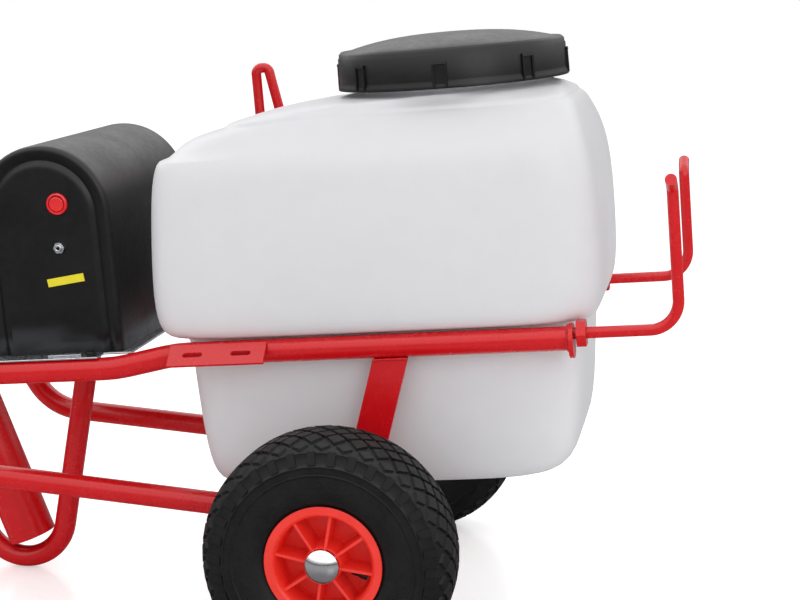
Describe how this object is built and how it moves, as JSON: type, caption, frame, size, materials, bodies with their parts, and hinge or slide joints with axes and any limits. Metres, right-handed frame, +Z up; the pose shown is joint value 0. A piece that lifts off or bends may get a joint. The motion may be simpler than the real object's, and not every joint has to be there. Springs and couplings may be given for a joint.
{
  "type": "wheeled sprayer cart",
  "caption": "Two-wheeled tube-frame sprayer cart with a translucent tank, screw lid, battery pump unit, parking stand and lance holder.",
  "frame": {"origin": "on the ground, under the middle of the whole cart's bounding box", "axes": "+X towards the nose with the hose horns, +Y the left side, +Z up; the cart stands parked on its wheels and stand"},
  "size_m": [1.4794, 0.6116, 0.6473],
  "materials": {
    "red_paint": "glossy red powder coat over welded steel tube",
    "tyre_rubber": "moulded black rubber with a smooth sidewall and block tread",
    "rim_plastic": "orange-red moulded plastic with a soft sheen",
    "milky_tank": "translucent white moulded plastic, softly glossy",
    "black_plastic": "fine-grained black moulded plastic with a satin sheen",
    "switch_red": "glossy red switch plastic",
    "grip_rubber": "ribbed black rubber grip",
    "soft_rubber": "dark grey seal rubber",
    "battery_case": "dark grey battery case",
    "zinc_steel": "bright zinc plate with faint spangle",
    "chrome_cap": "polished chrome dome",
    "brass": "machined brass, lightly dulled",
    "yellow_label": "blank yellow label film"
  },
  "bodies": {
    "cart": {"axle": "zinc_steel", "axle_cap_left": "chrome_cap", "axle_cap_right": "chrome_cap", "axle_spacer_left": "zinc_steel", "axle_spacer_right": "zinc_steel", "axle_strut_left": "red_paint", "axle_strut_right": "red_paint", "battery": "battery_case", "battery_strap": "black_plastic", "charge_jack": "black_plastic", "cover_clip": "zinc_steel", "cover_label": "yellow_label", "cross_tube_front": "red_paint", "cross_tube_rear": "red_paint", "grip_left": "grip_rubber", "grip_right": "grip_rubber", "horn_collar_left": "red_paint", "horn_collar_right": "red_paint", "hose_horn_left": "red_paint", "hose_horn_right": "red_paint", "hose_loop_left": "red_paint", "jack_nut": "zinc_steel", "lance_holder": "red_paint", "lance_tab_lower": "red_paint", "lance_tab_upper": "red_paint", "lower_tube_left": "red_paint", "lower_tube_right": "red_paint", "parking_stand": "red_paint", "pressure_switch": "black_plastic", "pump_cover": "black_plastic", "pump_head": "black_plastic", "pump_motor": "zinc_steel", "pump_outlet_nozzle": "brass", "pump_tray": "zinc_steel", "rail_end_plate_left": "red_paint", "rail_end_plate_right": "red_paint", "rail_left": "red_paint", "rail_right": "red_paint", "slotted_flange_right": "red_paint", "strainer_basket": "black_plastic", "switch_body": "black_plastic", "tank": "milky_tank", "tank_outlet_elbow": "black_plastic", "tray_bolt_left": "black_plastic", "tray_bolt_right": "black_plastic"},
    "wheel_right": {"tyre_right": "tyre_rubber", "inner_tube_right": "soft_rubber", "rim_right": "rim_plastic", "wheel_bush_right": "black_plastic", "valve_right": "black_plastic"},
    "wheel_left": {"tyre_left": "tyre_rubber", "inner_tube_left": "soft_rubber", "rim_left": "rim_plastic", "wheel_bush_left": "black_plastic", "valve_left": "black_plastic"},
    "lid_seal": {"lid_gasket": "soft_rubber"},
    "lid": {"tank_lid": "black_plastic"},
    "rocker": {"switch_rocker": "switch_red"},
    "drain": {"drain_plug": "black_plastic"}
  },
  "joints": [
    {"name": "wheel_right_spin", "type": "hinge", "parent": "cart", "child": "wheel_right", "pos_m": [0.39572, -0.256, 0.13], "axis": [0, 1, 0], "continuous": true},
    {"name": "wheel_left_spin", "type": "hinge", "parent": "cart", "child": "wheel_left", "pos_m": [0.39572, 0.256, 0.13], "axis": [0, 1, 0], "continuous": true},
    {"name": "lid_lift", "type": "slide", "parent": "cart", "child": "lid_seal", "axis": [-0.0826, 0, 0.9966], "range_m": [0, 0.0081]},
    {"name": "lid_turn", "type": "hinge", "parent": "lid_seal", "child": "lid", "pos_m": [0.47687, 0, 0.60834], "axis": [-0.0826, 0, 0.9966], "range_deg": [0, 360]},
    {"name": "rocker_tip", "type": "hinge", "parent": "cart", "child": "rocker", "pos_m": [0.06931, -0.1403, 0.46387], "axis": [0.9966, 0, 0.0826], "range_deg": [0, 16]},
    {"name": "drain_plug_turn", "type": "hinge", "parent": "cart", "child": "drain", "pos_m": [0.51283, 0, 0.16981], "axis": [0.0826, 0, -0.9966], "range_deg": [0, 360]}
  ],
  "couplings": [
    {"joint": "lid_lift", "follows": "lid_turn", "m_per_rad": 0.001273}
  ]
}
